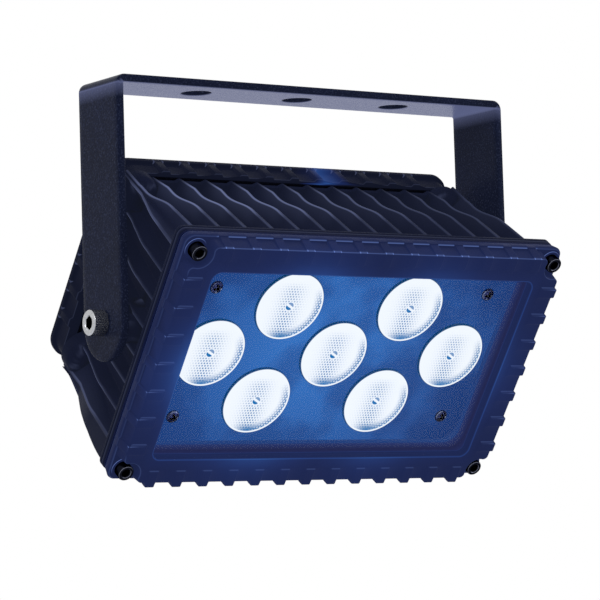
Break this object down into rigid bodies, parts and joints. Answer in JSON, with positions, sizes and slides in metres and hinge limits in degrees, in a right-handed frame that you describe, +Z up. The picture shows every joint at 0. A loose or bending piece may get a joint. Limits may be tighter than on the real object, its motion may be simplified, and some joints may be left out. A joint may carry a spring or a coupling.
{
  "type": "led floodlight",
  "caption": "LED floodlight in a finned, black-coated die-cast housing, hung in a U bracket of flat bar that it tilts in, with an address display, keys and cable glands behind",
  "frame": {"origin": "middle of the bracket crossbar's top face, centred on the middle hanging hole's axis", "axes": "+X to the viewer's right across the lamp (the object's left-to-right as seen from the front), +Y to the back, +Z up; the lamp shines toward -Y and down"},
  "size_m": [0.2534, 0.1634, 0.202],
  "materials": {
    "powder_coat": "textured black powder coat on steel",
    "coated_casting": "satin black coat on die-cast aluminium",
    "bright_screw": "bright zinc-plated steel",
    "black_screw": "blackened stainless steel",
    "silicone": "matte black silicone",
    "clear_glass": "clear toughened glass",
    "clear_lens": "clear moulded acrylic",
    "lens_plate_coat": "satin blue-black coat",
    "board": "solder resist on a circuit board",
    "supply_case": "potting compound in a plain case",
    "nylon": "moulded black nylon",
    "smoked_window": "smoked clear acrylic"
  },
  "bodies": {
    "bracket": {"bracket": "powder_coat"},
    "lamp": {"clamp_screw_left": "bright_screw", "clamp_screw_right": "bright_screw", "pivot_washer_left": "silicone", "pivot_washer_right": "silicone", "heatsink_body": "coated_casting", "front_bezel": "coated_casting", "bezel_screw_1": "black_screw", "bezel_screw_2": "black_screw", "bezel_screw_3": "black_screw", "bezel_screw_4": "black_screw", "front_gasket": "silicone", "front_glass": "clear_glass", "lens_plate": "lens_plate_coat", "plate_screw_1": "bright_screw", "plate_screw_2": "bright_screw", "plate_screw_3": "bright_screw", "plate_screw_4": "bright_screw", "lens_1": "clear_lens", "lens_2": "clear_lens", "lens_3": "clear_lens", "lens_4": "clear_lens", "lens_5": "clear_lens", "lens_6": "clear_lens", "lens_7": "clear_lens", "led_board": "board", "led_board_screw_1": "bright_screw", "led_board_screw_2": "bright_screw", "led_board_screw_3": "bright_screw", "led_board_screw_4": "bright_screw", "power_supply": "supply_case", "rear_gasket": "silicone", "rear_cover": "coated_casting", "cover_screw_1": "black_screw", "cover_screw_2": "black_screw", "cover_screw_3": "black_screw", "cover_screw_4": "black_screw", "display_window": "smoked_window", "control_board": "board", "control_board_screw_1": "bright_screw", "control_board_screw_2": "bright_screw", "control_board_screw_3": "bright_screw", "control_board_screw_4": "bright_screw", "cable_gland_mains": "nylon", "cable_gland_data_in": "nylon", "cable_gland_data_out": "nylon"},
    "key_menu": {"key_menu": "nylon"},
    "key_enter": {"key_enter": "nylon"},
    "key_up": {"key_up": "nylon"},
    "key_down": {"key_down": "nylon"}
  },
  "joints": [
    {"name": "tilt", "type": "hinge", "parent": "bracket", "child": "lamp", "pos_m": [0, 0, -0.121], "axis": [1, 0, 0], "continuous": true},
    {"name": "key_menu_press", "type": "slide", "parent": "lamp", "child": "key_menu", "axis": [0, -0.8075, -0.5899], "range_m": [0, 0.001], "stiffness_N_per_m": 1500, "springref_m": -0.0004},
    {"name": "key_enter_press", "type": "slide", "parent": "lamp", "child": "key_enter", "axis": [0, -0.8075, -0.5899], "range_m": [0, 0.001], "stiffness_N_per_m": 1500, "springref_m": -0.0004},
    {"name": "key_up_press", "type": "slide", "parent": "lamp", "child": "key_up", "axis": [0, -0.8075, -0.5899], "range_m": [0, 0.001], "stiffness_N_per_m": 1500, "springref_m": -0.0004},
    {"name": "key_down_press", "type": "slide", "parent": "lamp", "child": "key_down", "axis": [0, -0.8075, -0.5899], "range_m": [0, 0.001], "stiffness_N_per_m": 1500, "springref_m": -0.0004}
  ]
}
